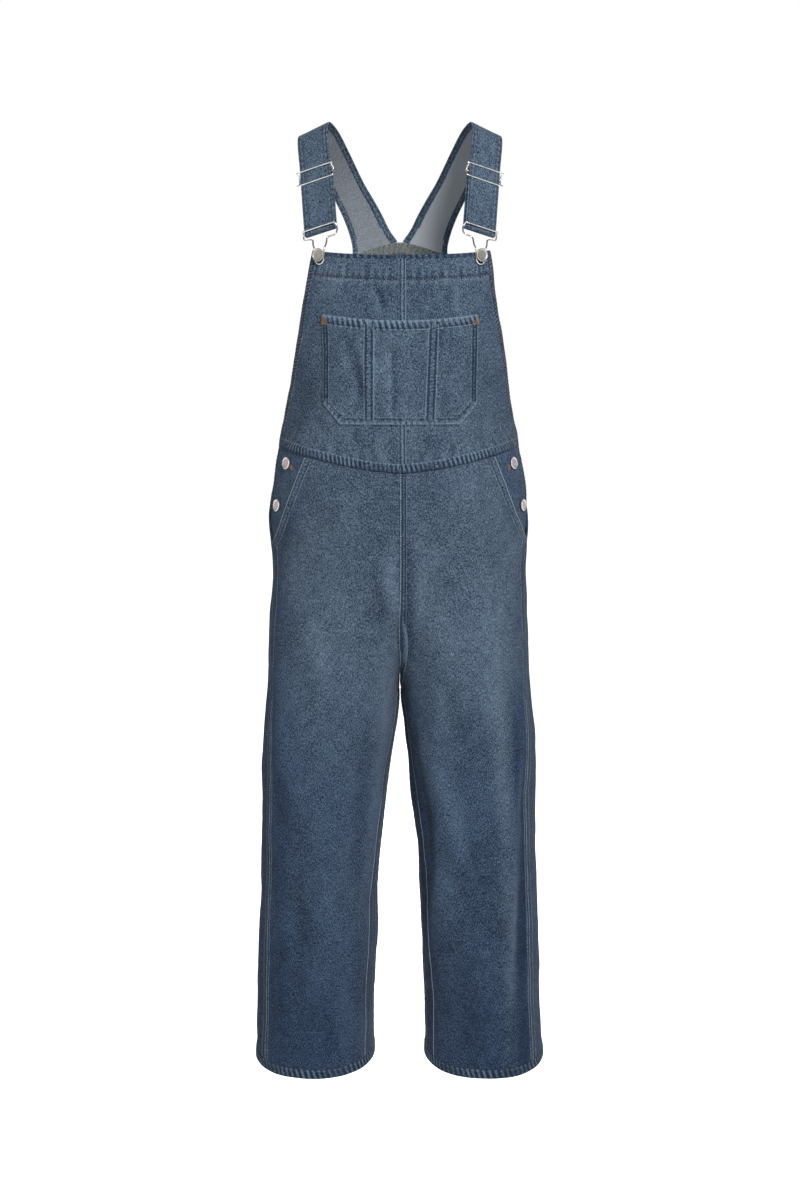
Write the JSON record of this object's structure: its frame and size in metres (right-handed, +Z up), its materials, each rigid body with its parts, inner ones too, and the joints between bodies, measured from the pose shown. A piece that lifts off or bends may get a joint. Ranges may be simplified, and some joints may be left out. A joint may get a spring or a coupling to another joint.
{
  "type": "denim dungarees",
  "caption": "Wide-leg bib-front work dungarees in mid-blue denim, held open as worn, with slide-adjusted shoulder straps hooked to bib buttons, and slant hip pockets.",
  "frame": {"origin": "midway between the two straps at the top of the shoulders, where the wearer carries the garment", "axes": "+Z up along the body, front of the garment towards -Y, +X towards the wearer's left"},
  "size_m": [0.4275, 0.2568, 1.3626],
  "materials": {
    "denim": "stonewashed mid-blue cotton twill, tonal topstitching, roped hems",
    "nickel": "nickel-plated steel wire and stamped buttons, softly polished"
  },
  "bodies": {
    "root": {"front_leg_left": "denim", "front_leg_right": "denim", "back_leg_left": "denim", "back_leg_right": "denim", "hip_facing_left": "denim", "hip_facing_right": "denim", "button_stand_left": "denim", "button_stand_right": "denim", "bib_left": "denim", "bib_right": "denim", "back_bib_left": "denim", "back_bib_right": "denim", "bib_pocket_left": "denim", "bib_pocket_centre": "denim", "bib_pocket_right": "denim", "strap_left": "denim", "strap_right": "denim", "slider_left": "nickel", "slider_right": "nickel", "slider_bar_left": "nickel", "slider_bar_right": "nickel", "hook_left": "nickel", "hook_right": "nickel", "hook_bar_left": "nickel", "hook_bar_right": "nickel", "bib_button_left": "nickel", "bib_button_right": "nickel", "side_button_upper_left": "nickel", "side_button_lower_left": "nickel", "side_button_upper_right": "nickel", "side_button_lower_right": "nickel"}
  },
  "joints": []
}
